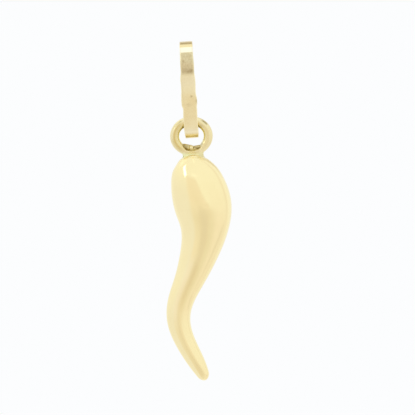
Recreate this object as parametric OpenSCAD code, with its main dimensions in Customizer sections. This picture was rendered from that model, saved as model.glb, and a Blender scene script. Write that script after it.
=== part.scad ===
// Cornicello: a polished gold horn that hangs by a wire ring from a folded strip bail.
// Millimetres, +Z up, +X to the right and -Y to the front of the hanging pendant.
// The origin is the inner top of the bail, where a chain carries it.

/* [Bail] */
// Outer height of the bail, from its round top to its foot
bail_length = 9.23; // [8:0.01:12]
// Clear depth inside the round top, front to back
bail_bore = 4.1; // [3.4:0.1:4.8]
// Radius inside the narrow bend at the foot
foot_bend = 0.3; // [0.2:0.02:0.4]
// Thickness of the strip
bail_thick = 0.35; // [0.25:0.05:0.5]
// Width of the strip over the round top
bail_top_width = 1.22; // [0.8:0.02:1.6]
// Width of the strip at its widest, low on the legs
bail_mid_width = 1.45; // [1:0.05:1.8]
// Width of the strip at the foot, where the ring hangs
bail_foot_width = 1.28; // [0.8:0.02:1.6]

/* [Ring] */
// Thickness of the ring's wire
wire_d = 0.86; // [0.6:0.01:1]
// How much wider the ring's hole is than the strip that passes through it
ring_play = 0.9; // [0.7:0.02:2]
// Running gap between the bail's legs and the wire that swings between them
swing_gap = 0.04; // [0.02:0.01:0.1]
// Thickness of the wire's two ends, filed a little to fit the crown
end_d = 0.82; // [0.5:0.01:0.95]
// Gap between the two ends of the wire, filled with solder
end_gap = 0.38; // [0.2:0.01:0.6]
// Depth of the wire's ends inside the crown
end_sink = 0.5; // [0.2:0.05:1.5]

/* [Solder] */
// Height of the soldered neck between the ring and the crown
neck_rise = 0.13; // [0.05:0.01:0.6]
// Depth of the solder between the ends, front to back
solder_depth = 0.6; // [0.3:0.02:0.7]
// Radius of the bead on top of the solder, in the ring's hole
bead_r = 0.3; // [0.1:0.01:0.4]
// Height of the bead above the wire
bead_rise = 0.18; // [0.05:0.01:0.3]

/* [Horn] */
// Height of the horn from its crown to its tip
horn_length = 21.2; // [12:0.1:40]
// Width of the horn at its fullest, from the front
horn_width = 5.5; // [4:0.1:9]
// Depth of the horn at its fullest, front to back
horn_depth = 4.8; // [3.5:0.1:9]
// How far the tail swings away from the line that the horn hangs on
horn_sway = 2.35; // [1:0.05:4]
// Length of the rounding at the tip
tip_round = 0.5; // [0.3:0.05:1]

/* [Hidden] */

// The columns of horn_rows
DROP = 0;
SWAY = 1;
WIDTH = 2;
DEPTH = 3;
// Sections of the horn: shares of horn_length below the crown, of horn_sway to the
// right, of horn_width and of horn_depth
horn_rows = [
    [0.00, -0.020, 0.385, 0.390],
    [0.02, -0.020, 0.560, 0.555],
    [0.05,  0.000, 0.745, 0.740],
    [0.09,  0.060, 0.870, 0.865],
    [0.14,  0.150, 0.955, 0.950],
    [0.20,  0.260, 0.990, 1.000],
    [0.26,  0.310, 0.940, 0.960],
    [0.32,  0.280, 0.825, 0.865],
    [0.38,  0.160, 0.720, 0.770],
    [0.44, -0.030, 0.635, 0.690],
    [0.50, -0.260, 0.560, 0.620],
    [0.56, -0.520, 0.490, 0.555],
    [0.62, -0.790, 0.445, 0.505],
    [0.68, -0.960, 0.415, 0.470],
    [0.74, -0.980, 0.385, 0.435],
    [0.80, -0.850, 0.350, 0.395],
    [0.86, -0.625, 0.320, 0.360],
    [0.92, -0.360, 0.280, 0.320],
    [0.97, -0.145, 0.210, 0.240],
    [1.00, -0.030, 0.150, 0.170]
];
last_row = len(horn_rows) - 1;
// Sides of each section, sections down to the tip's rounding and sections round it
horn_sides = 40;
body_steps = 56;
tip_steps = 5;
// Share of the length on each side over which the sway's slope is taken
rate_stretch = 0.05;
// Above one, the sections lie closer together at the crown than at the tail
crown_crowding = 1.2;

// Share of the bail's length at which the front outline changes width
outline_top_end = 0.14;
outline_mid_start = 0.60;
outline_mid_end = 0.67;
outline_foot_start = 0.70;

// How far the legs' flat faces lie inside the rounds that they meet
leg_bite = 0.01;
curve_fn = 96;

// The bail in side view: one round inside the top and one inside the foot, joined by
// straight legs that lean towards each other by leg_lean
top_z = -bail_bore / 2;
foot_z = 2 * bail_thick + foot_bend - bail_length;
leg_lean = asin((bail_bore / 2 - foot_bend) / (top_z - foot_z));

// The ring, and the circle that its wire sweeps as it swings inside the bail's foot:
// wire_high and wire_low reach up and down from the middle of the ring's top wire
hole_r = (bail_foot_width + ring_play) / 2;
wire_r = wire_d / 2;
ring_r = hole_r + wire_r;
wire_high = wire_r;
wire_low = ring_r - sqrt(hole_r * hole_r - bail_foot_width * bail_foot_width / 4);
swing_r = (wire_high + wire_low) / 2;
// The hinge lies where the legs are just wide enough apart for that circle
hinge_z = foot_z + (swing_r + swing_gap - foot_bend) / sin(leg_lean);
ring_z = hinge_z + (wire_low - wire_high) / 2 - ring_r;

// The wire's ends go down into the crown, side by side
end_x = (end_d + end_gap) / 2;
ring_foot_z = ring_z - ring_r;
crown_z = ring_foot_z - wire_r - neck_rise;

// Rate of change of one column between row i and the next
function secant(i, c) =
    (horn_rows[i + 1][c] - horn_rows[i][c]) / (horn_rows[i + 1][DROP] - horn_rows[i][DROP]);

// Slope of one column at row i, from the rows on both sides of it
function slope(i, c) =
    i == 0 ? secant(0, c)
    : i == last_row ? secant(last_row - 1, c)
    : let(
        before = horn_rows[i][DROP] - horn_rows[i - 1][DROP],
        after = horn_rows[i + 1][DROP] - horn_rows[i][DROP]
    )
    (secant(i - 1, c) * after + secant(i, c) * before) / (before + after);

// The row at or above the share t of the length
function row_above(t) = max([for (i = [0:last_row - 1]) if (horn_rows[i][DROP] <= t) i]);

// Smooth curve through one column at the share t of the length
function column_at(t, c) =
    let(
        i = row_above(t),
        span = horn_rows[i + 1][DROP] - horn_rows[i][DROP],
        s = (t - horn_rows[i][DROP]) / span
    )
    horn_rows[i][c] * (1 + 2 * s) * pow(1 - s, 2)
    + horn_rows[i + 1][c] * s * s * (3 - 2 * s)
    + slope(i, c) * span * s * pow(1 - s, 2)
    - slope(i + 1, c) * span * s * s * (1 - s);

// Slope of the sway at the share t of the length, taken over a stretch on both sides
// so that the sections turn smoothly
function sway_rate(t) =
    let(a = max(t - rate_stretch, 0), b = min(t + rate_stretch, 1))
    (column_at(b, SWAY) - column_at(a, SWAY)) / (b - a);

// Where the tip's rounding starts, and how far it narrows a section below that
tip_start = 1 - tip_round / horn_length;
function tip_share(t) =
    t <= tip_start ? 1 : sqrt(1 - pow((t - tip_start) / (1 - tip_start), 2));

// The shares of the length that have a section
section_shares = concat(
    [for (i = [0:body_steps]) tip_start * pow(i / body_steps, crown_crowding)],
    [for (i = [1:tip_steps]) tip_start + (1 - tip_start) * sin(90 * i / (tip_steps + 1))]
);

// One oval section, square to the horn's curved middle line
function horn_section(t) =
    let(
        lean = atan(sway_rate(t) * horn_sway / horn_length),
        half_width = column_at(t, WIDTH) * horn_width / 2 * tip_share(t),
        half_depth = column_at(t, DEPTH) * horn_depth / 2 * tip_share(t)
    )
    [for (k = [0:horn_sides - 1])
        let(turn = 360 * k / horn_sides)
        [
            column_at(t, SWAY) * horn_sway + half_width * cos(turn) * cos(lean),
            half_depth * sin(turn),
            crown_z - t * horn_length + half_width * cos(turn) * sin(lean)
        ]
    ];

module horn_body() {
    points = [for (t = section_shares) each horn_section(t)];
    rings = len(section_shares);
    sides = [for (j = [0:rings - 2], k = [0:horn_sides - 1])
        let(
            a = j * horn_sides + k,
            b = j * horn_sides + (k + 1) % horn_sides,
            c = a + horn_sides,
            d = b + horn_sides
        )
        each [[a, b, d], [a, d, c]]
    ];
    crown = [for (k = [horn_sides - 1:-1:0]) k];
    tip = [for (k = [0:horn_sides - 1]) (rings - 1) * horn_sides + k];
    polyhedron(points, concat([crown], sides, [tip]));
}

// The ring of round wire
module wire_ring() {
    translate([0, 0, ring_z])
        rotate([90, 0, 0])
            rotate_extrude($fn = curve_fn)
                translate([ring_r, 0])
                    circle(d = wire_d, $fn = curve_fn / 2);
}

// The wire's two ends, from inside the ring's lowest stretch into the crown
module wire_ends() {
    end_top = ring_z - sqrt(ring_r * ring_r - end_x * end_x);
    for (side = [-1, 1])
        translate([side * end_x, 0, crown_z - end_sink])
            cylinder(h = end_top - crown_z + end_sink, d = end_d, $fn = curve_fn / 2);
}

// Solder between the ends, with a bead in the ring's hole
module solder() {
    translate([-end_x, -solder_depth / 2, crown_z - end_sink / 2])
        cube([2 * end_x, solder_depth, ring_foot_z - crown_z + end_sink / 2]);
    translate([0, 0, ring_foot_z + wire_r + bead_rise - bead_r])
        sphere(r = bead_r, $fn = curve_fn / 2);
}

module horn() {
    color("khaki") {
        horn_body();
        wire_ring();
        wire_ends();
        solder();
    }
}

// The strip's front outline: its width changes along the bail's length
module bail_outline() {
    rows = [
        [0, bail_top_width],
        [outline_top_end, bail_top_width],
        [outline_mid_start, bail_mid_width],
        [outline_mid_end, bail_mid_width],
        [outline_foot_start, bail_foot_width],
        [1, bail_foot_width]
    ];
    right = [for (row = rows) [row[1] / 2, bail_thick - row[0] * bail_length]];
    left = [for (i = [len(rows) - 1:-1:0]) [-right[i][0], right[i][1]]];
    rotate([90, 0, 0])
        linear_extrude(height = 2 * bail_bore, center = true)
            polygon(concat(right, left));
}

// A closed drop in side view, as wide as the bail's hollow plus grow on every side. The
// legs' faces lie leg_bite inside the rounds, so that they cross them cleanly
module drop(grow) {
    rounds = [[bail_bore / 2 + grow, top_z], [foot_bend + grow, foot_z]];
    corners = [for (r = rounds)
        [(r[0] - leg_bite) * cos(leg_lean), r[1] - (r[0] - leg_bite) * sin(leg_lean)]
    ];
    rotate([90, 0, 90]) {
        for (r = rounds)
            translate([0, r[1], 0])
                cylinder(h = 2 * bail_mid_width, r = r[0], center = true, $fn = curve_fn);
        linear_extrude(height = 2 * bail_mid_width, center = true)
            polygon([
                corners[0], corners[1],
                [-corners[1][0], corners[1][1]], [-corners[0][0], corners[0][1]]
            ]);
    }
}

module bail() {
    color("burlywood")
        intersection() {
            difference() {
                drop(bail_thick);
                drop(0);
            }
            bail_outline();
        }
}

bail();
horn();
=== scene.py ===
import math
import bpy
import numpy as np
from mathutils import Matrix, Vector


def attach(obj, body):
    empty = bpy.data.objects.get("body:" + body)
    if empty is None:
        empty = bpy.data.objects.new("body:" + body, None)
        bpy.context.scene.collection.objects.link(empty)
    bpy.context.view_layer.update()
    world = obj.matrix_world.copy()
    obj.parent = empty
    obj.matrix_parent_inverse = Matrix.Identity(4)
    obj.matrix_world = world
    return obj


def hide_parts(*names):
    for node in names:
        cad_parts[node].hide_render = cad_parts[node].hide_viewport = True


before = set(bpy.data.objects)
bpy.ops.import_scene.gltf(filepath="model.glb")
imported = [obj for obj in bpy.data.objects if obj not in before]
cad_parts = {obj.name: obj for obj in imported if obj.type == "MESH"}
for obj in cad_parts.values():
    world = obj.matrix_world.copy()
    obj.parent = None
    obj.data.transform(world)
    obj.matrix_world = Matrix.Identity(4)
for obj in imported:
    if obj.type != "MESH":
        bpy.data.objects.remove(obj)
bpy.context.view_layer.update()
metresPerMm = 0.001
farAway = 9.0  # millimetres, where a search for the nearest surface starts
print("frame loaded:", ", ".join(sorted(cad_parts)))


# small helpers for shapes, all in millimetres in the frame's own axes

def smoothStep(low, high, value):
    # 0 below low and 1 above high, and the cubic 3s^2 - 2s^3 between them; with low the
    # larger of the two, 1 below high and 0 above low
    s = np.clip((value - low) / (high - low), 0, 1)
    return s * s * (3 - 2 * s)


def hump(distance, radius):
    # 1 at no distance, falling off as e to the minus (distance / radius) squared
    return np.exp(-(distance / radius) ** 2)


def spot(x, z, middleX, middleZ, width, height):
    # an oval hump in the front view
    return hump(np.hypot((x - middleX) / width, (z - middleZ) / height), 1.0)


def lineDistance(x, z, line):
    # distance in the front view to a line through several points
    nearest = farAway
    for (startX, startZ), (stopX, stopZ) in zip(line[:-1], line[1:]):
        runX, runZ = stopX - startX, stopZ - startZ
        share = np.clip(((x - startX) * runX + (z - startZ) * runZ) / (runX**2 + runZ**2), 0, 1)
        nearest = np.minimum(nearest, np.hypot(x - startX - share * runX, z - startZ - share * runZ))
    return nearest


def pointDistance(x, y, z, point):
    return np.sqrt((x - point[0]) ** 2 + (y - point[1]) ** 2 + (z - point[2]) ** 2)


def rodDistance(x, y, z, start, stop):
    # distance to the straight line between two points
    run = np.array(stop) - start
    share = (x - start[0]) * run[0] + (y - start[1]) * run[1] + (z - start[2]) * run[2]
    share = np.clip(share / (run**2).sum(), 0, 1)
    aside = (x - start[0] - share * run[0], y - start[1] - share * run[1], z - start[2] - share * run[2])
    return np.sqrt(sum(part**2 for part in aside))


def roundedLess(a, b, reach):
    # the smaller of two distances, less a rounding that is reach / 4 where they are equal
    share = np.clip(0.5 + 0.5 * (b - a) / reach, 0, 1)
    return b + (a - b) * share - reach * share * (1 - share)


def splineThrough(stations, rows, where):
    # natural cubic spline: a cubic between each two stations, whose second slopes
    # agree at the stations and are zero at both ends
    gaps = np.diff(stations)
    count = len(stations)
    matrix = np.eye(count)
    inner = np.arange(1, count - 1)
    matrix[inner, inner - 1] = gaps[:-1]
    matrix[inner, inner] = 2 * (gaps[:-1] + gaps[1:])
    matrix[inner, inner + 1] = gaps[1:]
    slopes = (rows[1:] - rows[:-1]) / gaps[:, None]
    right = np.zeros_like(rows)
    right[1:-1] = 6 * (slopes[1:] - slopes[:-1])
    bend = np.linalg.solve(matrix, right)
    k = np.clip(np.searchsorted(stations, where, side="right") - 1, 0, count - 2)
    gap = gaps[k][:, None]
    after = (stations[k + 1] - where)[:, None]
    before = (where - stations[k])[:, None]
    return (
        (bend[k] * after**3 + bend[k + 1] * before**3) / (6 * gap)
        + (rows[k] / gap - bend[k] * gap / 6) * after
        + (rows[k + 1] / gap - bend[k + 1] * gap / 6) * before
    )


def evenOut(values, spread, closed=False):
    # each value becomes the bell-weighted mean of its neighbours; spread is the
    # bell's width in samples, and open ends are continued by point reflection
    reach = int(math.ceil(4 * spread))
    bell = np.exp(-0.5 * (np.arange(-reach, reach + 1) / spread) ** 2)
    bell /= bell.sum()
    if closed:
        padded = np.concatenate([values[-reach:], values, values[:reach]])
    else:
        start = 2 * values[0] - values[reach:0:-1]
        end = 2 * values[-1] - values[-2 : -reach - 2 : -1]
        padded = np.concatenate([start, values, end])
    return np.stack([np.convolve(column, bell, "valid") for column in padded.T], 1)


def surfaceObject(name, points, closedAlong, body, material, masks):
    # points is a grid: rows along the piece, columns round it. An open grid gets one
    # middle point at each end, so that every surface is closed.
    rows, columns = points.shape[:2]
    flat = points.reshape(-1, 3)
    steps = rows if closedAlong else rows - 1
    i, j = np.meshgrid(np.arange(steps), np.arange(columns), indexing="ij")
    iNext, jNext = (i + 1) % rows, (j + 1) % columns
    quads = np.stack(
        [i * columns + j, i * columns + jNext, iNext * columns + jNext, iNext * columns + j], -1
    ).reshape(-1, 4)
    along = np.stack([i, i, i + 1, i + 1], -1).reshape(-1, 4) / steps
    around = np.stack([j, j + 1, j + 1, j], -1).reshape(-1, 4) / columns
    quadUv = np.stack([around, along], -1)
    a, b, c, d = (flat[quads[:, n]] for n in range(4))
    volume = (a * np.cross(b, c)).sum() + (a * np.cross(c, d)).sum()
    k = np.arange(columns)
    kNext = (k + 1) % columns
    last = (rows - 1) * columns
    ends = np.zeros((0, 3), int)
    endUv = np.zeros((0, 3, 2))
    if not closedAlong:
        flat = np.concatenate([flat, [points[0].mean(0), points[-1].mean(0)]])
        top = np.stack([np.full(columns, rows * columns), kNext, k], -1)
        foot = np.stack([np.full(columns, rows * columns + 1), last + k, last + kNext], -1)
        topUv = np.stack([np.stack([k + 0.5, k + 1, k], -1) / columns, np.zeros((columns, 3))], -1)
        footUv = np.stack([np.stack([k + 0.5, k, k + 1], -1) / columns, np.ones((columns, 3))], -1)
        ends, endUv = np.concatenate([top, foot]), np.concatenate([topUv, footUv])
    if volume < 0:  # the grid ran the other way round, so every face is turned over
        quads, quadUv = quads[:, ::-1], quadUv[:, ::-1]
        ends, endUv = ends[:, ::-1], endUv[:, ::-1]
    corners = np.concatenate([quads.ravel(), ends.ravel()])
    uv = np.concatenate([quadUv.reshape(-1, 2), endUv.reshape(-1, 2)])
    sizes = np.concatenate([np.full(len(quads), 4), np.full(len(ends), 3)])
    mesh = bpy.data.meshes.new(name)
    mesh.vertices.add(len(flat))
    mesh.vertices.foreach_set("co", (flat * metresPerMm).ravel())
    mesh.loops.add(len(corners))
    mesh.loops.foreach_set("vertex_index", corners.astype(np.int32))
    mesh.polygons.add(len(sizes))
    mesh.polygons.foreach_set("loop_start", (np.cumsum(sizes) - sizes).astype(np.int32))
    mesh.polygons.foreach_set("use_smooth", np.ones(len(sizes), bool))
    uvLayer = mesh.uv_layers.new(name="surface")
    uvLayer.data.foreach_set("uv", uv.ravel())
    for maskName, values in masks.items():
        whole = np.clip(values, 0, 1)
        atEnds = [] if closedAlong else [whole[0].mean(), whole[-1].mean()]
        layer = mesh.attributes.new(maskName, "FLOAT", "POINT")
        layer.data.foreach_set("value", np.concatenate([whole.ravel(), atEnds]).astype(np.float32))
    mesh.update(calc_edges=True)
    mesh.validate()
    mesh.materials.append(material)
    piece = bpy.data.objects.new(name, mesh)
    bpy.context.scene.collection.objects.link(piece)
    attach(piece, body)
    print("made", name, "with", len(mesh.polygons), "faces")
    return piece


# helpers for node trees

def mathNode(tree, operation, first, second=None, third=None):
    node = tree.nodes.new("ShaderNodeMath")
    node.operation = operation
    for socket, value in zip(node.inputs, (first, second, third)):
        if isinstance(value, (int, float)):
            socket.default_value = value
        elif value is not None:
            tree.links.new(value, socket)
    return node.outputs[0]


def mixColour(tree, share, first, second):
    # in a mix of colours the node's inputs 0, 6 and 7 are the share and the two colours
    node = tree.nodes.new("ShaderNodeMix")
    node.data_type = "RGBA"
    for socket, value in ((node.inputs[0], share), (node.inputs[6], first), (node.inputs[7], second)):
        if isinstance(value, (int, float)):
            socket.default_value = value
        elif isinstance(value, tuple):
            socket.default_value = (*value, 1.0)
        else:
            tree.links.new(value, socket)
    return node.outputs[2]


def stepNode(tree, value, low, high):
    # 0 at low and 1 at high with soft ends, and the other way round if low is the larger
    node = tree.nodes.new("ShaderNodeMapRange")
    node.interpolation_type = "SMOOTHSTEP"
    node.inputs["From Min"].default_value = min(low, high)
    node.inputs["From Max"].default_value = max(low, high)
    node.inputs["To Min"].default_value = 0.0 if low < high else 1.0
    node.inputs["To Max"].default_value = 1.0 if low < high else 0.0
    tree.links.new(value, node.inputs["Value"])
    return node.outputs["Result"]


def noiseValue(tree, coordinates, size, detail, stretch=(1, 1, 1), roughness=0.55):
    # size is the width of one patch in millimetres
    mapping = tree.nodes.new("ShaderNodeMapping")
    mapping.inputs["Scale"].default_value = [1 / (metresPerMm * size * s) for s in stretch]
    tree.links.new(coordinates, mapping.inputs["Vector"])
    noise = tree.nodes.new("ShaderNodeTexNoise")
    noise.inputs["Scale"].default_value = 1.0
    noise.inputs["Detail"].default_value = detail
    noise.inputs["Roughness"].default_value = roughness
    tree.links.new(mapping.outputs[0], noise.inputs["Vector"])
    return noise.outputs[0]


# how each noise, from 0 to 1, acts in a finish: its gain and its level at 0
noiseActs = {"cloud": (2.0, -0.8), "grime": (0.9, 0.55), "scratch": (0.08, -0.04)}


def goldFinish(name, look):
    # the masks are values kept on the piece's points: deep for darker gold and painted
    # shade, pale for solder and painted highlights, tarnish and shade for brown film, dirt and
    # painted shade, dull for less polish
    material = bpy.data.materials.new(name)
    material.use_nodes = True
    tree = material.node_tree
    shader = tree.nodes["Principled BSDF"]
    shader.inputs["Metallic"].default_value = 1.0
    place = tree.nodes.new("ShaderNodeTexCoord").outputs["Object"]

    def mask(maskName):
        node = tree.nodes.new("ShaderNodeAttribute")
        node.attribute_name = maskName
        return node.outputs["Fac"]

    def kept(value):  # held between 0 and 1
        return mathNode(tree, "MINIMUM", mathNode(tree, "MAXIMUM", value, 0.0), 1.0)

    cloud = noiseValue(tree, place, look["cloudSize"], detail=3.0)
    grime = noiseValue(tree, place, look["grimeSize"], detail=4.0)
    grain = noiseValue(tree, place, look["grainSize"], 2.0, look["grainStretch"])
    scratch = noiseValue(tree, place, look["scratchSize"], 2.0, look["scratchStretch"])

    # colour: light gold, deeper gold in soft clouds and where the mask says so, partly painted
    # shade, then the pale metal and painted highlights, then tarnish and painted shade broken up by grime
    gain, level = (part * look["cloudShare"] for part in noiseActs["cloud"])
    clouds = mathNode(tree, "MULTIPLY_ADD", cloud, gain, level)
    deep = kept(mathNode(tree, "ADD", mask("deep"), clouds))
    colour = mixColour(tree, deep, look["gold"], look["goldDeep"])
    colour = mixColour(tree, mask("pale"), colour, look["pale"])
    broken = mathNode(tree, "MULTIPLY_ADD", grime, *noiseActs["grime"])
    tarnishAndShade = kept(mathNode(tree, "MULTIPLY", mask("tarnishAndShade"), broken))
    colour = mixColour(tree, tarnishAndShade, colour, look["tarnishAndShade"])
    tree.links.new(colour, shader.inputs["Base Color"])

    # roughness: polished, a little duller in the clouds, on scratches and by each mask
    rough = mathNode(tree, "MULTIPLY_ADD", cloud, look["roughSpread"], look["rough"])
    rough = mathNode(tree, "MULTIPLY_ADD", mask("pale"), look["paleRough"], rough)
    rough = mathNode(tree, "MULTIPLY_ADD", mask("dull"), look["dullRough"], rough)
    rough = mathNode(tree, "MULTIPLY_ADD", tarnishAndShade, look["tarnishRough"], rough)
    fine = mathNode(tree, "MULTIPLY_ADD", scratch, *noiseActs["scratch"])
    tree.links.new(mathNode(tree, "ADD", rough, fine), shader.inputs["Roughness"])

    # relief: grain left by the polishing wheel, and fine scratches across it
    height = mathNode(tree, "MULTIPLY_ADD", scratch, look["scratchShare"], grain)
    bump = tree.nodes.new("ShaderNodeBump")
    bump.inputs["Strength"].default_value = look["relief"]
    bump.inputs["Distance"].default_value = look["reliefDepth"] * metresPerMm
    tree.links.new(height, bump.inputs["Height"])
    tree.links.new(bump.outputs[0], shader.inputs["Normal"])
    return material


# the horn, from the top of its crown, inside the solder, to the tip

horn = {
    "crownZ": -10.7591, "length": 21.2, "width": 5.5, "depth": 4.8, "sway": 2.35,
    "tipRound": 0.5, "slopeStretch": 0.05,
    # the grid; above one, the crowding puts the rows closer together at the crown
    "rows": 380, "tipRows": 24, "columns": 144, "crowding": 1.15,
    # how far the sides stand out past the sections, and over which shares of the length
    "outset": 0.035, "outsetOver": (0.0, 0.05),
    # the middle line: its samples, the width over which it is evened out and the shares
    # over which that starts, the shares over which it starts to lean, and the least share
    # that a half axis counts with
    "samples": 3000, "evenOver": 0.013, "evenFrom": (0.03, 0.09), "leanFrom": (-0.012, 0.02),
    "leastShare": 0.05,
    # distances from the wire's ends over which solder and dull metal end
    "solderFade": (0.12, 0.40), "solderFilm": 0.05, "dullFade": (0.35, 1.05),
    # soft streaks down the front, a painted reflection in deeper gold and a painted highlight
    # in lighter gold: the shares over which each starts and ends, where it lies as a cosine of
    # the turn, its width and its strength
    "deepStreak": ((0.44, 0.52), (0.72, 0.62), 0.1, 0.25, 0.45),
    "paleStreak": ((0.42, 0.50), (0.80, 0.68), -0.24, 0.17, 0.28),
    # small dents and specks in the front of the belly: x, z, radius and depth
    "dents": [(0.95, -15.45, 0.16, 0.012), (-1.35, -15.85, 0.14, 0.008), (1.75, -18.3, 0.18, 0.010)],
}
# shares of the length below the crown, of the sway, of the width and of the depth; the
# rows above the crown close its dome inside the soldered wire ends
hornRows = np.array([
    [-0.0140, 0.015, 0.135, 0.145],
    [-0.0125, 0.012, 0.190, 0.245],
    [-0.0110, 0.010, 0.235, 0.318],
    [-0.0094, 0.007, 0.268, 0.372],
    [-0.0050, -0.008, 0.334, 0.418],
    [0.000, -0.020, 0.395, 0.456],
    [0.010, -0.024, 0.487, 0.529],
    [0.02, -0.020, 0.563, 0.594],
    [0.05, 0.000, 0.745, 0.740],
    [0.09, 0.060, 0.870, 0.865],
    [0.14, 0.150, 0.955, 0.950],
    [0.20, 0.260, 0.990, 1.000],
    [0.26, 0.310, 0.940, 0.960],
    [0.32, 0.280, 0.825, 0.865],
    [0.38, 0.160, 0.720, 0.770],
    [0.44, -0.030, 0.635, 0.690],
    [0.50, -0.260, 0.560, 0.620],
    [0.56, -0.520, 0.490, 0.555],
    [0.62, -0.790, 0.445, 0.505],
    [0.68, -0.960, 0.415, 0.470],
    [0.74, -0.980, 0.385, 0.435],
    [0.80, -0.850, 0.350, 0.395],
    [0.86, -0.625, 0.320, 0.360],
    [0.92, -0.360, 0.280, 0.320],
    [0.97, -0.145, 0.210, 0.240],
    [1.00, -0.030, 0.150, 0.170],
])
swayColumn, widthColumn, depthColumn = 0, 1, 2  # the rows' columns after the first
# the wire's two ends, side by side in the crown: x and radius, and how far up and down
# they reach; the web of solder between them; and how their corners are rounded
ends = {
    "left": (-0.56, 0.405), "right": (0.565, 0.455), "top": -10.10, "foot": -11.05,
    "webHalfWidth": 0.45, "webHalfDepth": 0.24, "webTop": -10.05, "webRounding": 0.08,
    "rounding": 0.10,
}


def hornLine():
    # the rows' spline on even shares, evened out over a quarter of a millimetre below the
    # shoulder so that the polish shows no waves
    shares = np.linspace(hornRows[0, 0], 1, horn["samples"])
    raw = splineThrough(hornRows[:, 0], hornRows[:, 1:], shares)
    calm = evenOut(raw, horn["evenOver"] / (shares[1] - shares[0]))
    blend = smoothStep(*horn["evenFrom"], shares)[:, None]
    return shares, raw * (1 - blend) + calm * blend


hornShares, hornTable = hornLine()


def hornAt(share, column):
    return np.interp(share, hornShares, hornTable[:, column])


def hornLean(share):
    # the slope of the middle line, taken over a stretch on both sides
    low = np.maximum(share - horn["slopeStretch"], 0)
    high = np.minimum(share + horn["slopeStretch"], 1)
    rate = (hornAt(high, swayColumn) - hornAt(low, swayColumn)) / (high - low)
    return np.arctan(rate * horn["sway"] / horn["length"]) * smoothStep(*horn["leanFrom"], share)


def endsDistance(x, y, z):
    # distance to the wire's ends, two upright rods with round tips, and to the block of
    # solder between them
    shape = farAway
    for endX, radius in (ends["left"], ends["right"]):
        rise = z - np.clip(z, ends["foot"], ends["top"])
        end = np.sqrt((x - endX) ** 2 + y**2 + rise**2) - radius
        shape = roundedLess(shape, end, ends["rounding"])
    r = ends["webRounding"]
    middle = (ends["webTop"] + ends["foot"]) / 2
    halfHeight = (ends["webTop"] - ends["foot"]) / 2
    sides = [
        np.abs(x) - ends["webHalfWidth"],
        np.abs(y) - ends["webHalfDepth"],
        np.abs(z - middle) - halfHeight,
    ]
    beyond = np.sqrt(sum(np.maximum(side + r, 0) ** 2 for side in sides)) - r
    within = np.minimum(np.maximum(np.maximum(sides[0], sides[1]), sides[2]) + r, 0)
    return roundedLess(shape, beyond + within, ends["rounding"])


def crownDistance(x, y, z):
    # distance to the horn's crown: how far an oval through the point is from the
    # section's own oval, times the mean half axis, shortened where the dome slopes. Above
    # the dome it is the height over it.
    share = (horn["crownZ"] - z) / horn["length"]
    share = share + x * np.tan(hornLean(share)) / horn["length"]

    def ovalShare(s):
        halfWidth = np.maximum(hornAt(s, widthColumn), horn["leastShare"]) * horn["width"] / 2
        halfDepth = np.maximum(hornAt(s, depthColumn), horn["leastShare"]) * horn["depth"] / 2
        fromMiddle = x - hornAt(s, swayColumn) * horn["sway"]
        return np.hypot(fromMiddle / halfWidth, y / halfDepth), (halfWidth + halfDepth) / 2

    lower = 0.02  # millimetres, over which the dome's slope is taken
    here, size = ovalShare(share)
    below = ovalShare(share + lower / horn["length"])[0]
    slope = (here - below) * size / lower
    roof = z - (horn["crownZ"] - hornShares[0] * horn["length"])
    return np.maximum((here - 1) * size / np.sqrt(1 + slope**2), roof)


def makeHorn():
    # each section is an oval square to the middle line: x = middle + a cos(turn) cos(lean),
    # y = b sin(turn), z = height + a cos(turn) sin(lean). Both half axes shrink to nothing
    # at the tip as the square root of one less the square of the way through the rounding.
    tipStart = 1 - horn["tipRound"] / horn["length"]
    first = hornShares[0]
    evenly = np.linspace(0, 1, horn["rows"] - horn["tipRows"])
    body = first + (tipStart - first) * evenly ** horn["crowding"]
    toTip = np.linspace(0, math.pi / 2, horn["tipRows"] + 1)[1:-1]
    t = np.concatenate([body, tipStart + (1 - tipStart) * np.sin(toTip)])[:, None]
    turn = np.linspace(0, 2 * math.pi, horn["columns"], endpoint=False)[None, :]
    lean = hornLean(t)
    close = np.sqrt(np.clip(1 - (np.clip(t - tipStart, 0, None) / (1 - tipStart)) ** 2, 0, 1))
    outset = horn["outset"] * smoothStep(*horn["outsetOver"], t)
    across = (hornAt(t, widthColumn) * horn["width"] / 2 + outset) * close * np.cos(turn)
    x = hornAt(t, swayColumn) * horn["sway"] + across * np.cos(lean)
    y = hornAt(t, depthColumn) * horn["depth"] / 2 * close * np.sin(turn)
    z = horn["crownZ"] - t * horn["length"] + across * np.sin(lean)
    for dentX, dentZ, radius, depth in horn["dents"]:
        y = y + (y < 0) * depth * hump(np.hypot(x - dentX, z - dentZ), radius)

    def streak(fadeIn, fadeOut, side, width, strength):
        along = smoothStep(*fadeIn, t) * smoothStep(*fadeOut, t)
        return strength * (along * hump(np.cos(turn) - side, width) * (y < 0))

    # solder lies on the crown as far as it is close to the wire's ends, in a pale tone that is
    # partly painted light lifting the shade round the neck, and the crown is less polished a
    # little further out. Deeper gold runs down the middle of the front where the tail begins,
    # a painted reflection, with a painted highlight in lighter gold on its left.
    fromEnds = endsDistance(x, y, z)
    solder = 1 - smoothStep(*horn["solderFade"], fromEnds)
    masks = {
        "pale": solder + streak(*horn["paleStreak"]),
        "tarnishAndShade": horn["solderFilm"] * solder,
        "deep": streak(*horn["deepStreak"]),
        "dull": 1 - smoothStep(*horn["dullFade"], fromEnds),
    }
    points = np.stack([x, y, z], -1)
    return surfaceObject("hornBody", points, False, "horn", hornGold, masks)


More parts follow.
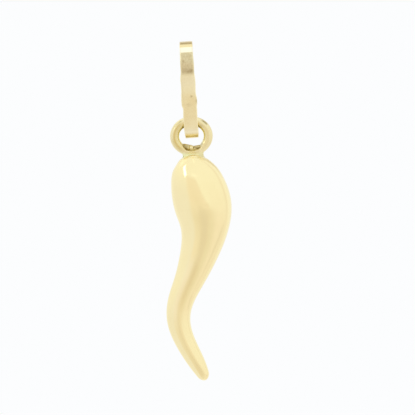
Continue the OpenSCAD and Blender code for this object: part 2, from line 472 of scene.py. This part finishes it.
hornGold = goldFinish("polishedHornGold", {
    "gold": (0.975, 0.865, 0.500), "goldDeep": (0.90, 0.76, 0.40),
    # pale is the solder's tone, set lighter than on the ring: painted light that lifts the shade in the
    # corner round the neck, and the colour of the painted highlight streak
    "pale": (1.0, 0.98, 0.78), "tarnishAndShade": (0.42, 0.33, 0.14), "cloudShare": 0.25,
    "cloudSize": 1.6, "grimeSize": 0.25, "grainSize": 0.16, "grainStretch": (1.0, 1.0, 3.0),
    "scratchSize": 0.05, "scratchStretch": (1.0, 1.0, 14.0), "scratchShare": 0.25,
    "rough": 0.06, "roughSpread": 0.05, "paleRough": 0.10, "dullRough": 0.34, "tarnishRough": 0.25,
    "relief": 0.08, "reliefDepth": 0.02,
})
hornBody = makeHorn()


# the wire ring: one wire bent round, its two ends turned down side by side into the
# horn's crown, with solder between them, round their feet and in a bead on top

ring = {
    "centreX": -0.03, "centreZ": -8.69, "halfWidth": 1.60, "halfHeight": 1.44, "wireRadius": 0.435,
    "rows": 520, "columns": 168, "crowding": 0.65,  # rows lie closer together at the soldered foot
    # the walk from the middle line out to the surface: its start, its limits, and the share
    # of the distance left that each step takes
    "startRadius": 0.15, "radiusLimits": (0.02, 1.6), "paces": [0.75] * 40 + [0.30] * 50,
    "joinRounding": 0.12, "footRounding": 0.20, "footReach": 0.32,
    # how far the solder's foot dips under the crown, and over which shares of its reach
    "sunk": 0.03, "sunkOver": (0.4, 1.0),
    # on the two sides the crown counts as further off by this much, over which heights and
    # over which distances aside
    "sideGap": 0.3, "sideGapHeights": (-10.68, -10.48), "sideGapWidths": (0.5, 0.8),
    # the slope that the two bends leave on top of the soldered wire
    "slopeTilt": 60.0, "slopeSide": 0.29, "slopeFrom": 0.60, "slopeTo": 1.15, "slopeLower": 0.045,
    # its middle in x, its edge's rounding, its highest z, and how far off it is above that
    "slopeMiddle": 0.04, "slopeEdge": 0.03, "slopeTop": -9.0, "slopeOff": 2.0,
    "lip": [(-0.92, -9.45), (-0.80, -9.70), (-0.63, -9.99), (-0.30, -10.11), (-0.05, -10.14),
            (0.44, -10.04), (0.70, -9.83), (0.98, -9.50)],
    # the backs of the two bends stand up in the hole, each from one point to another, with
    # its radius
    "folds": [
        ((-0.80, 0.12, -9.56), (-0.10, 0.12, -9.74), 0.20),
        ((-0.06, 0.12, -9.84), (0.62, 0.13, -9.76), 0.19),
    ],
    "bead": (-0.10, -0.15, -9.81), "beadRadius": 0.21, "foldRounding": 0.10,
    # the darkest lines of painted shade on the slope: under the left bend and along the lip, and two on
    # the right
    "darkLines": [
        [(-0.78, -9.50), (-0.57, -9.75), (-0.62, -9.93), (-0.45, -10.03), (-0.15, -10.07), (0.0, -10.15)],
        [(0.47, -10.0), (0.67, -9.86)], [(0.19, -9.79), (0.40, -9.84), (0.67, -9.82)],
    ],
}


def joinDistance(x, y, z):
    # distance to wire and solder together, below zero inside
    fromX, fromZ = x - ring["centreX"], z - ring["centreZ"]
    a, b = ring["halfWidth"], ring["halfHeight"]
    level = np.hypot(fromX / a, fromZ / b)
    out = (level - 1) * level / np.hypot(fromX / a**2, fromZ / b**2)  # outwards from the middle line
    shape = np.hypot(out, y) - ring["wireRadius"]
    # the slope, on the inner top of the lowest stretch alone
    tilt = math.radians(ring["slopeTilt"])
    side = np.abs(x - ring["slopeMiddle"])
    slope = ring["slopeLower"] - math.sin(tilt) * out - math.cos(tilt) * (y + ring["wireRadius"])
    slope = slope - ring["slopeSide"] * smoothStep(ring["slopeFrom"], ring["slopeTo"], side)
    slope = slope - ring["slopeOff"] * (z > ring["slopeTop"])
    cut = -roundedLess(-shape, -slope, ring["slopeEdge"])
    ending = np.maximum(endsDistance(x, y, z), slope)  # the ends rise no higher than the slope
    shape = roundedLess(cut, ending, ring["joinRounding"])
    for start, stop, foldRadius in ring["folds"]:
        fold = rodDistance(x, y, z, start, stop) - foldRadius
        shape = roundedLess(shape, fold, ring["foldRounding"])
    bead = pointDistance(x, y, z, ring["bead"]) - ring["beadRadius"]
    shape = roundedLess(shape, bead, ring["foldRounding"])
    # the solder's foot hugs the crown for a short way and then dips under it. On the two
    # sides it starts to spread only where the crown is near
    sunk = ring["sunk"] * smoothStep(*ring["sunkOver"], shape / ring["footReach"])
    gap = ring["sideGap"] * smoothStep(*ring["sideGapHeights"], z)
    crown = crownDistance(x, y, z) + sunk + gap * smoothStep(*ring["sideGapWidths"], np.abs(x))
    joined = roundedLess(shape, crown, ring["footRounding"])
    return np.maximum(joined, shape - ring["footReach"])


# the ring's masks. A pair holds the two ends of a smooth step, over z, over the way inward
# (-1 on the outer rim and 1 in the hole) or over the angle round the ring in degrees, from
# its right side over its top
ringMasks = {
    # how far past the bead's radius its gold ends; the soldered foot, its right half, and
    # where it is dull
    "bead": (0.06, 0.01), "low": (-10.42, -10.16), "right": (-0.16, -0.02),
    "dull": (-10.45, -10.60), "leftSharpness": 4,
    # the slope's brown with painted shade under the bends: how far over the lip, inward, up, aside and
    # back it reaches
    "lipDrop": 0.05, "overLip": (-0.08, 0.0), "slopeInward": (-0.05, 0.20),
    "slopeTop": (-9.25, -9.45), "slopeSides": (1.06, 0.92), "slopeBack": (0.24, 0.12),
    # its strength on the plain slope, what the lines of painted shade add and the lighter
    # spots take away, and those spots: strength, x, z, width and height
    "slopePlain": 0.42, "slopeLines": 0.58, "lineWidth": 0.07, "slopeSpots": 0.6,
    "spots": [(0.9, -0.34, -9.92, 0.20, 0.07), (0.6, 0.15, -9.93, 0.16, 0.09)],
    # deeper gold along the wire's middle, a painted reflection: where, its width and strength
    # on the right and what the left adds, its foot, and where it fades on the left shoulder and how far
    "middleAt": -0.06, "middleWidth": (0.20, 0.06), "middleStrength": (0.30, 0.70),
    "middleFoot": (-10.1, -9.6), "shoulder": (134, 118), "shoulderFade": 0.8,
    # the hole's inside: its paler innermost band, painted light that lifts the shade there,
    # and the deeper gold round it, painted shade, which is weaker at the top and stronger on the left
    "innermost": (0.45, 0.80), "innermostFoot": (-9.5, -9.2), "inside": (0.05, 0.45),
    "insideStrength": 0.35, "insideTop": (-8.6, -8.0), "insideTopLess": 0.15, "insideLeftMore": 0.2,
    # stripes along the wire: where inward, width, and the angles of their start and end; the
    # left and right lines are painted dark reflections near the outer rim
    "lowerLeft": (-0.52, 0.25, (176, 196), (248, 228)),
    "leftLine": (-0.56, 0.18, (114, 122), (156, 142)),
    "rightLine": (-0.69, 0.18, (31, 39), (61, 49)),
    # a rubbed spot on the right shoulder: x, z, width and height, and how far inward
    "rub": (0.98, -7.78, 0.20, 0.16), "rubInward": (-0.3, 0.3),
}


def makeRing():
    # each point lies on a ray that leaves the wire's oval middle line square to it. The
    # ray is walked outwards by nearly the distance left until the distance is nothing.
    even = np.linspace(0, 2 * math.pi, ring["rows"], endpoint=False)[:, None]
    way = even - ring["crowding"] * np.cos(even)
    turn = np.linspace(0, 2 * math.pi, ring["columns"], endpoint=False)[None, :]
    outX, outZ = ring["halfHeight"] * np.cos(way), ring["halfWidth"] * np.sin(way)
    size = np.hypot(outX, outZ)
    stepX = np.cos(turn) * outX / size
    stepY = np.sin(turn) + 0 * way
    stepZ = np.cos(turn) * outZ / size
    middleX = ring["centreX"] + ring["halfWidth"] * np.cos(way)
    middleZ = ring["centreZ"] + ring["halfHeight"] * np.sin(way)
    radius = np.full(stepX.shape, ring["startRadius"])
    for pace in ring["paces"]:
        left = joinDistance(middleX + radius * stepX, radius * stepY, middleZ + radius * stepZ)
        radius = np.clip(radius - pace * left, *ring["radiusLimits"])
    points = np.stack([middleX + radius * stepX, radius * stepY, middleZ + radius * stepZ], -1)
    x, y, z = points[..., 0], points[..., 1], points[..., 2]
    # masks: deeper gold along the wire's middle, a painted reflection, and inside, painted
    # shade; brown with painted shade on the slope above its lip, darkest along the lip; thin
    # dark lines near the outer rim on both shoulders, painted reflections; pale solder round
    # the ends; and a paler innermost band, painted light
    look = ringMasks
    inward = -np.cos(turn) + 0 * way
    angle = np.degrees(way) + 0 * turn

    def stripe(at, width, fadeIn, fadeOut):
        return hump(inward - at, width) * smoothStep(*fadeIn, angle) * smoothStep(*fadeOut, angle)

    beadEdge, beadInner = (ring["beadRadius"] + more for more in look["bead"])
    bead = smoothStep(beadEdge, beadInner, pointDistance(x, y, z, ring["bead"])) * (y < 0)
    low = 1 - smoothStep(*look["low"], z)
    # brown on the slope above the lip, strongest along lines of painted shade under the bends and along
    # the lip
    lipX, lipZ = np.array(ring["lip"]).T
    aboveLip = z - np.interp(x, lipX, lipZ) + look["lipDrop"]
    brown = smoothStep(*look["overLip"], aboveLip) * smoothStep(*look["slopeInward"], inward)
    brown = brown * smoothStep(*look["slopeTop"], z)
    dark = sum(hump(lineDistance(x, z, line), look["lineWidth"]) for line in ring["darkLines"])
    light = sum(strength * spot(x, z, *place) for strength, *place in look["spots"])
    strength = look["slopePlain"] + look["slopeLines"] * dark - look["slopeSpots"] * light
    brown = brown * np.clip(strength, 0, 1) * (1 - bead)
    brown = brown * smoothStep(*look["slopeSides"], np.abs(x)) * smoothStep(*look["slopeBack"], y)
    # the deeper gold along the wire's middle is a painted reflection, stronger on the left
    leftSide = 0.5 - 0.5 * np.tanh((x - ring["centreX"]) * look["leftSharpness"])
    width = look["middleWidth"][0] + look["middleWidth"][1] * leftSide
    strength = look["middleStrength"][0] + look["middleStrength"][1] * leftSide
    middle = hump(inward - look["middleAt"], width) * strength * smoothStep(*look["middleFoot"], z)
    middle = middle * (1 - look["shoulderFade"] * smoothStep(*look["shoulder"], angle) * (angle > 90))
    # a paler innermost band, painted light, and deeper gold round the hole's inside, painted shade
    innermost = smoothStep(*look["innermost"], inward) * smoothStep(*look["innermostFoot"], z)
    inside = look["insideStrength"] - look["insideTopLess"] * smoothStep(*look["insideTop"], z)
    inside = inside + look["insideLeftMore"] * leftSide
    inside = inside * smoothStep(*look["inside"], inward) * (1 - innermost)
    # the left and right lines are painted dark reflections near the outer rim
    lowerLeft, leftLine, rightLine = (
        stripe(*look[name]) for name in ("lowerLeft", "leftLine", "rightLine")
    )
    rub = spot(x, z, *look["rub"]) * smoothStep(*look["rubInward"], inward)
    right = smoothStep(*look["right"], x)
    masks = {
        "pale": low * (1 - 0.6 * right) + 0.5 * innermost,
        "tarnishAndShade": 0.85 * brown + 0.50 * leftLine + 0.75 * rightLine + 0.22 * rub + 0.03 * low,
        "deep": (middle + inside + 0.55 * lowerLeft) * (1 - low) * (1 - bead) + 0.4 * low * right,
        "dull": smoothStep(*look["dull"], z),
    }
    return surfaceObject("wireRing", points, True, "horn", ringGold, masks)


ringGold = goldFinish("wireRingGold", {
    "gold": (0.90, 0.805, 0.48), "goldDeep": (0.74, 0.61, 0.26),
    "pale": (0.90, 0.90, 0.52), "tarnishAndShade": (0.30, 0.23, 0.07), "cloudShare": 0.20,
    "cloudSize": 0.6, "grimeSize": 0.12, "grainSize": 0.10, "grainStretch": (1.0, 1.0, 1.0),
    "scratchSize": 0.04, "scratchStretch": (1.0, 8.0, 1.0), "scratchShare": 0.3,
    "rough": 0.16, "roughSpread": 0.08, "paleRough": 0.15, "dullRough": 0.30, "tarnishRough": 0.20,
    "relief": 0.14, "reliefDepth": 0.02,
})
wireRing = makeRing()
for piece in (hornBody, wireRing):
    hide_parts("horn")


# the bail, one strip folded into a closed loop

bail = {
    "bore": 4.1, "footBend": 0.3, "thick": 0.35, "length": 9.23,
    "rows": 760, "edgeRadius": 0.085, "crown": 0.006, "soften": 0.08,
    # points on the profile: on each quarter arc, along its long sides and its short ones
    "arcPoints": 9, "longPoints": 16, "shortPoints": 7,
    # brown spots: x, z, width, height and strength
    "spots": [
        (0.26, -2.62, 0.42, 0.16, 0.26), (-0.38, -1.62, 0.10, 0.16, 0.25), (0.20, -4.95, 0.09, 0.10, 0.55),
        (0.64, -5.42, 0.08, 0.22, 0.45), (-0.10, -5.75, 0.22, 0.16, 0.16), (-0.62, -4.3, 0.06, 0.9, 0.12),
    ],
}
# drop below the outer top, left edge and right edge
bailEdges = np.array([
    [-0.2, -0.615, 0.605], [0.3, -0.620, 0.605], [0.8, -0.640, 0.610], [1.3, -0.645, 0.600],
    [1.8, -0.658, 0.618], [2.3, -0.668, 0.628], [2.8, -0.665, 0.612], [3.05, -0.672, 0.612],
    [3.3, -0.715, 0.640], [3.6, -0.755, 0.668], [4.0, -0.742, 0.672], [4.5, -0.735, 0.650],
    [4.9, -0.742, 0.642], [5.15, -0.770, 0.660], [5.4, -0.778, 0.700], [5.7, -0.788, 0.724],
    [5.95, -0.778, 0.710], [6.15, -0.765, 0.675], [6.32, -0.700, 0.660], [6.5, -0.668, 0.664],
    [6.9, -0.690, 0.660], [7.6, -0.690, 0.660], [8.3, -0.680, 0.665], [8.7, -0.650, 0.665],
    [9.0, -0.610, 0.650], [9.5, -0.600, 0.640],
])
# dents in the front leg, and two low bulges: x, z, width, height and depth
bailDents = [
    (0.22, -2.71, 0.40, 0.14, 0.014), (0.46, -2.72, 0.16, 0.10, 0.011), (-0.40, -1.60, 0.09, 0.14, 0.010),
    (0.20, -4.95, 0.09, 0.10, 0.024), (0.64, -5.42, 0.08, 0.22, 0.020), (-0.66, -6.05, 0.12, 0.10, 0.028),
    (-0.20, -5.55, 0.30, 0.12, 0.010), (0.05, -4.20, 0.22, 0.30, 0.006), (0.10, -6.75, 0.35, 0.12, 0.008),
    (0.0, -3.75, 3.0, 0.80, -0.030), (0.0, -8.44, 3.0, 0.20, -0.050),
]


# the bail's masks: the two ends of a smooth step, in millimetres under the inner top unless
# it says otherwise
bailMasks = {
    "outer": (0.0, 0.06),  # out from the strip's middle
    "filmHead": (0.72, 0.84), "filmFoot": (2.55, 3.10), "foot": (8.36, 8.48),
    "sheenHead": (2.9, 3.2), "sheenFoot": (4.6, 3.9), "deepHead": (4.3, 5.2), "deepFoot": (6.6, 8.0),
    # heights over the inner top: the pale band, a painted highlight, the round top and the
    # darker tone along it
    "topHighlightFoot": (-0.80, -0.74), "topHighlightHead": (-0.36, -0.24), "top": (-0.34, -0.20),
    "topDarker": (-0.06, 0.06),
    # the paler bands on the leg and over the foot are painted highlights
    "lowSheen": (-8.25, 0.22),  # a paler band over the foot: its height and half width
    "edge": (0.72, 0.95),  # share of the way from the strip's middle line to its edge
}


def dropPath():
    # the strip's middle line in side view, walked from the top down the front: a large
    # arc over the top, a small one at the foot, and the two straights that touch both
    topRadius = bail["bore"] / 2 + bail["thick"] / 2
    footRadius = bail["footBend"] + bail["thick"] / 2
    topZ = -bail["bore"] / 2
    footZ = 2 * bail["thick"] + bail["footBend"] - bail["length"]
    lean = math.asin((topRadius - footRadius) / (topZ - footZ))
    legLength = (topZ - footZ) * math.cos(lean)
    topArc = topRadius * (math.pi / 2 + lean)
    ends = np.cumsum([topArc, legLength, footRadius * (math.pi - 2 * lean), legLength, topArc])
    s = np.linspace(0, ends[-1], bail["rows"], endpoint=False)
    firstTurn, secondTurn = math.pi / 2 + lean, 1.5 * math.pi - lean

    def onTop(turn):
        return -topRadius * np.sin(turn), topZ + topRadius * np.cos(turn)

    def onFoot(turn):
        return -footRadius * np.sin(turn), footZ + footRadius * np.cos(turn)

    down, back = (s - ends[0]) / legLength, (s - ends[2]) / legLength
    stretches = [
        onTop(s / topRadius),
        [a + (b - a) * down for a, b in zip(onTop(firstTurn), onFoot(firstTurn))],
        onFoot(firstTurn + (s - ends[1]) / footRadius),
        [a + (b - a) * back for a, b in zip(onFoot(secondTurn), onTop(secondTurn))],
        onTop(secondTurn + (s - ends[3]) / topRadius),
    ]
    which = np.searchsorted(ends, s, side="right")
    y = np.choose(which, [stretch[0] for stretch in stretches])
    z = np.choose(which, [stretch[1] for stretch in stretches])
    return evenOut(np.stack([y, z], -1), bail["soften"] / (s[1] - s[0]), closed=True)


def stripProfile():
    # a rounded rectangle as corner signs and arc directions: four quarter arcs, and the
    # points of the long and short sides between them
    arc = np.linspace(0, math.pi / 2, bail["arcPoints"])
    long = np.linspace(1, -1, bail["longPoints"])[1:-1]
    short = np.linspace(1, -1, bail["shortPoints"])[1:-1]
    parts = []
    for signX, signOut, start, run in [
        (1, 1, 0, long), (-1, 1, 1, short), (-1, -1, 2, -long), (1, -1, 3, -short),
    ]:
        turn = arc + start * math.pi / 2
        parts.append(np.stack([0 * arc + signX, 0 * arc + signOut, np.cos(turn), np.sin(turn)], -1))
        flat = 0 * run
        if start % 2 == 0:
            parts.append(np.stack([run, flat + signOut, flat, flat + signOut], -1))
        else:
            parts.append(np.stack([flat + signX, run, flat + signX, flat], -1))
    return np.concatenate(parts)


def makeBail():
    # the profile is carried along the drop; its width follows the edges' table, and the
    # outer face is crowned by one less the square of the way to the edge
    path = dropPath()
    ahead = np.roll(path, -1, 0) - np.roll(path, 1, 0)
    ahead /= np.linalg.norm(ahead, axis=1, keepdims=True)
    outward = np.stack([-ahead[:, 1], ahead[:, 0]], -1)
    outward = outward * np.sign(outward[0, 1])
    r = bail["edgeRadius"]
    edges = splineThrough(bailEdges[:, 0], bailEdges[:, 1:], bail["thick"] - path[:, 1])
    middle, half = edges.mean(1)[:, None], (edges[:, 1:] - edges[:, :1]) / 2
    cornerX, cornerOut, arcX, arcOut = (column[None, :] for column in stripProfile().T)
    across = cornerX * (half - r) + r * arcX
    out = cornerOut * (bail["thick"] / 2 - r) + r * arcOut
    x = middle + across
    out = out + bail["crown"] * (out > 0) * (1 - np.clip(across / half, -1, 1) ** 2)
    y = path[:, :1] + out * outward[:, :1]
    z = path[:, 1:] + out * outward[:, 1:]
    look = bailMasks
    outer = smoothStep(*look["outer"], out)
    front = outer * (path[:, :1] < 0)
    dent = sum(depth * spot(x, z, *place) for *place, depth in bailDents)
    y = y - front * dent * outward[:, :1]
    z = z - front * dent * outward[:, 1:]
    # masks: a pale top band, a painted highlight; a dull tan film below it; spots down the
    # leg; paler bands on the leg, painted highlights; a darker round top; and deeper gold on
    # the lower leg and, as a painted reflection of the ring, on the bend at the foot
    film = front * smoothStep(*look["filmHead"], -z) * (1 - smoothStep(*look["filmFoot"], -z))
    spots = front * sum(strength * spot(x, z, *place) for *place, strength in bail["spots"])
    # the pale band on the front of the round top is a painted highlight
    topHighlight = outer * smoothStep(*look["topHighlightFoot"], z) * (1 - smoothStep(*look["topHighlightHead"], z))
    topHighlight = topHighlight * (path[:, :1] < 0)
    # the deeper gold on the bend at the foot is a painted reflection of the ring's gold below it
    foot = front * smoothStep(*look["foot"], -z)
    top = outer * smoothStep(*look["top"], z)
    # paler bands on the front leg and over the foot, painted highlights
    lightHeight, lightWidth = look["lowSheen"]
    upperSheen = 0.25 * smoothStep(*look["sheenHead"], -z) * smoothStep(*look["sheenFoot"], -z)
    light = front * (upperSheen + 0.4 * hump(z - lightHeight, lightWidth))
    deep = front * 0.36 * smoothStep(*look["deepHead"], -z) * (1 - smoothStep(*look["deepFoot"], -z))
    edge = smoothStep(*look["edge"], np.abs(across) / half)
    deep = deep * (1 - 0.6 * edge) * (1 - topHighlight) + 0.4 * (1 - front) * (1 - top) + 0.6 * top
    masks = {
        "pale": topHighlight + light,
        "deep": deep + 0.55 * foot,
        "dull": deep * (1 - top) + foot,
        "tarnishAndShade": 0.46 * film * (1 - 0.5 * edge) + spots + 0.30 * smoothStep(*look["topDarker"], z),
    }
    points = np.stack([x, y, z], -1)
    return surfaceObject("bailStrip", points, True, "bail", bailGold, masks)


bailGold = goldFinish("bailStripGold", {
    "gold": (1.0, 0.93, 0.615), "goldDeep": (0.90, 0.72, 0.34),
    "pale": (1.0, 0.95, 0.74), "tarnishAndShade": (0.33, 0.22, 0.08), "cloudShare": 0.35,
    "cloudSize": 0.9, "grimeSize": 0.22, "grainSize": 0.10, "grainStretch": (1.0, 1.0, 6.0),
    "scratchSize": 0.035, "scratchStretch": (1.0, 3.0, 16.0), "scratchShare": 0.4,
    "rough": 0.08, "roughSpread": 0.09, "paleRough": -0.04, "dullRough": 0.14, "tarnishRough": 0.15,
    "relief": 0.14, "reliefDepth": 0.02,
})
bailStrip = makeBail()
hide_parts("bail")


# the studio: a white tent with duller and brighter zones, one window, a pale floor and
# the camera

studio = {
    "middle": (1.0787, 0.0, -15.575), "distance": 400.0, "pixelsPerMm": 10.5, "frame": 415,
    "roll": 3.53, "sensor": 36.0, "clip": (0.01, 10.0),
    "floorZ": -82.0, "floorRadius": 600.0, "floorSides": 96, "floor": (0.93, 0.935, 0.94),
    "backdrop": (0.973, 0.982, 0.991), "tent": (1.0, 1.0, 0.99),
}
# soft-edged zones, later ones over earlier ones: the two angles that bound them, each as
# low, high and softness, and their light. "round" takes azimuth from the camera's side to
# the right and elevation, the azimuth slanting with the elevation by the share given;
# "back" takes azimuth from straight behind; "arch" takes the angle to the side and the
# angle from the camera up over the top.
tentZones = {
    "leftSide": ("round", 0.0, (-150, -25, 25), (-100, 14, 20), (0.925, 0.915, 0.95)),
    "rightLevel": ("round", 0.0, (24, 105, 12), (-12, 18, 12), (0.985, 0.97, 0.955)),
    "rightSide": ("round", 0.0, (20, 122, 14), (-100, -10, 14), (0.955, 0.90, 0.875)),
    "behind": ("back", 0.0, (-52, 52, 15), (-45, 20, 12), (0.97, 0.965, 0.955)),
    "opening": ("round", 0.0, (-44, -8, 8), (-26, 26, 4), (0.945, 0.885, 0.835)),
    "openingRight": ("round", 1.0, (-16, 16, 7), (-26, 26, 4), (0.945, 0.885, 0.835)),
    "openingHeart": ("round", 0.5, (-26, -2, 9), (-30, 8, 12), (0.915, 0.85, 0.785)),
    "lowFront": ("round", 0.0, (-46, 42, 18), (-100, -12, 14), (0.88, 0.835, 0.775)),
    "lowHeart": ("round", -1.2, (0, 42, 14), (-46, -15, 10), (0.855, 0.785, 0.71)),
    "rightLow": ("round", -1.6, (119, 135, 8), (-36, -20, 5), (0.875, 0.825, 0.79)),
    "core": ("round", 0.0, (-16, 10, 10), (-33, -12, 9), (0.83, 0.77, 0.715)),
    "behindAbove": ("back", 0.0, (-9, 9, 4), (38, 58, 5), (0.60, 0.54, 0.45)),
    "rightShoulder": ("back", 0.0, (-44, -16, 8), (20, 52, 6), (0.81, 0.76, 0.68)),
    "leftShoulder": ("back", 0.0, (36, 78, 10), (42, 68, 8), (1.22, 1.22, 1.17)),
    "seam": ("round", 0.0, (97, 110, 8), (-50, 60, 12), (0.93, 0.89, 0.87)),
    "slot": ("round", 0.0, (-21, 0, 4), (31, 34.5, 2), (1.09, 1.08, 1.08)),
    "topLight": ("arch", 0.0, (-1.8, 1.8, 1.2), (66, 98, 2), (1.14, 1.14, 1.12)),
}
# the window: where its foot and its head stand, as azimuth and elevation, the point that
# it faces, and its distance, width and brightness
window = {
    "foot": (-46, 25), "head": (-74, 51), "facing": (0.0, 0.0, -12.0),
    "distance": 300.0, "width": 52.0, "brightness": 1.1,
}


def direction(azimuth, elevation):
    a, e = math.radians(azimuth), math.radians(elevation)
    return Vector((math.sin(a) * math.cos(e), -math.cos(a) * math.cos(e), math.sin(e)))


def makeTent():
    world = bpy.data.worlds.new("whiteTent")
    world.use_nodes = True
    bpy.context.scene.world = world
    tree = world.node_tree
    tree.nodes.clear()
    parts = tree.nodes.new("ShaderNodeSeparateXYZ")
    tree.links.new(tree.nodes.new("ShaderNodeTexCoord").outputs["Generated"], parts.inputs[0])
    toRight, away, up = parts.outputs

    def degrees(angle):
        return mathNode(tree, "MULTIPLY", angle, 180 / math.pi)

    def turned(value):
        return mathNode(tree, "MULTIPLY", value, -1.0)

    azimuth = degrees(mathNode(tree, "ARCTAN2", toRight, turned(away)))
    fromBehind = degrees(mathNode(tree, "ARCTAN2", turned(toRight), away))
    elevation = degrees(mathNode(tree, "ARCSINE", up))
    toSide = degrees(mathNode(tree, "ARCSINE", toRight))
    overhead = degrees(mathNode(tree, "ARCTAN2", up, turned(away)))
    angles = {"round": (azimuth, elevation), "back": (fromBehind, elevation), "arch": (toSide, overhead)}

    def between(value, low, high, soft):
        rising = stepNode(tree, value, low - soft, low + soft)
        falling = stepNode(tree, value, high + soft, high - soft)
        return mathNode(tree, "MULTIPLY", rising, falling)

    light = studio["tent"]
    for kind, slant, first, second, zoneLight in tentZones.values():
        firstAngle, secondAngle = angles[kind]
        if slant:
            firstAngle = mathNode(tree, "MULTIPLY_ADD", secondAngle, slant, firstAngle)
        share = mathNode(tree, "MULTIPLY", between(firstAngle, *first), between(secondAngle, *second))
        light = mixColour(tree, share, light, zoneLight)
    tentLight = tree.nodes.new("ShaderNodeBackground")
    tree.links.new(light, tentLight.inputs["Color"])
    plain = tree.nodes.new("ShaderNodeBackground")
    plain.inputs["Color"].default_value = (*studio["backdrop"], 1.0)
    choose = tree.nodes.new("ShaderNodeMixShader")
    tree.links.new(tree.nodes.new("ShaderNodeLightPath").outputs["Is Camera Ray"], choose.inputs["Fac"])
    tree.links.new(tentLight.outputs[0], choose.inputs[1])
    tree.links.new(plain.outputs[0], choose.inputs[2])
    output = tree.nodes.new("ShaderNodeOutputWorld")
    tree.links.new(choose.outputs[0], output.inputs["Surface"])


def makeWindow():
    # an upright pane whose long side runs from its foot to its head
    foot, head = direction(*window["foot"]), direction(*window["head"])
    back = (foot + head).normalized()
    along = (head - foot).normalized()
    light = bpy.data.lights.new("leftWindow", "AREA")
    light.shape = "RECTANGLE"
    light.size = window["width"] * metresPerMm
    light.size_y = (head - foot).length * window["distance"] * metresPerMm
    light.energy = window["brightness"] * math.pi * light.size * light.size_y
    lamp = bpy.data.objects.new("leftWindow", light)
    bpy.context.scene.collection.objects.link(lamp)
    place = (Vector(window["facing"]) + back * window["distance"]) * metresPerMm
    axes = Matrix((along.cross(back), along, back)).transposed().to_4x4()
    lamp.matrix_world = Matrix.Translation(place) @ axes
    lamp.visible_camera = False


def makeFloor():
    sides = studio["floorSides"]
    turn = np.linspace(0, 2 * math.pi, sides, endpoint=False)
    rim = np.stack([np.cos(turn), np.sin(turn), 0 * turn], -1) * studio["floorRadius"]
    points = np.concatenate([rim, [[0, 0, 0]]]) + [0, 0, studio["floorZ"]]
    faces = [(k, (k + 1) % sides, sides) for k in range(sides)]
    mesh = bpy.data.meshes.new("paleFloor")
    mesh.from_pydata((points * metresPerMm).tolist(), [], faces)
    floorPaint = bpy.data.materials.new("paleFloorPaint")
    floorPaint.use_nodes = True
    shader = floorPaint.node_tree.nodes["Principled BSDF"]
    shader.inputs["Base Color"].default_value = (*studio["floor"], 1.0)
    shader.inputs["Roughness"].default_value = 0.9
    mesh.materials.append(floorPaint)
    floor = bpy.data.objects.new("paleFloor", mesh)
    bpy.context.scene.collection.objects.link(floor)
    floor.visible_glossy = False  # the gold mirrors the tent alone


def makeCamera():
    # the pendant hangs upright here, so the camera is rolled as the photographer's was
    roll = math.radians(studio["roll"])
    right = Vector((math.cos(roll), 0, -math.sin(roll)))
    up = Vector((math.sin(roll), 0, math.cos(roll)))
    back = Vector((0, -1, 0))
    lens = bpy.data.cameras.new("photoCamera")
    lens.sensor_width = studio["sensor"]
    lens.lens = lens.sensor_width * studio["distance"] * studio["pixelsPerMm"] / studio["frame"]
    lens.clip_start, lens.clip_end = studio["clip"]
    camera = bpy.data.objects.new("photoCamera", lens)
    bpy.context.scene.collection.objects.link(camera)
    place = (Vector(studio["middle"]) + back * studio["distance"]) * metresPerMm
    camera.matrix_world = Matrix.Translation(place) @ Matrix((right, up, back)).transposed().to_4x4()
    bpy.context.scene.camera = camera


makeTent()
makeWindow()
makeFloor()
makeCamera()
bpy.context.scene.view_settings.view_transform = "Standard"
print("made the studio")
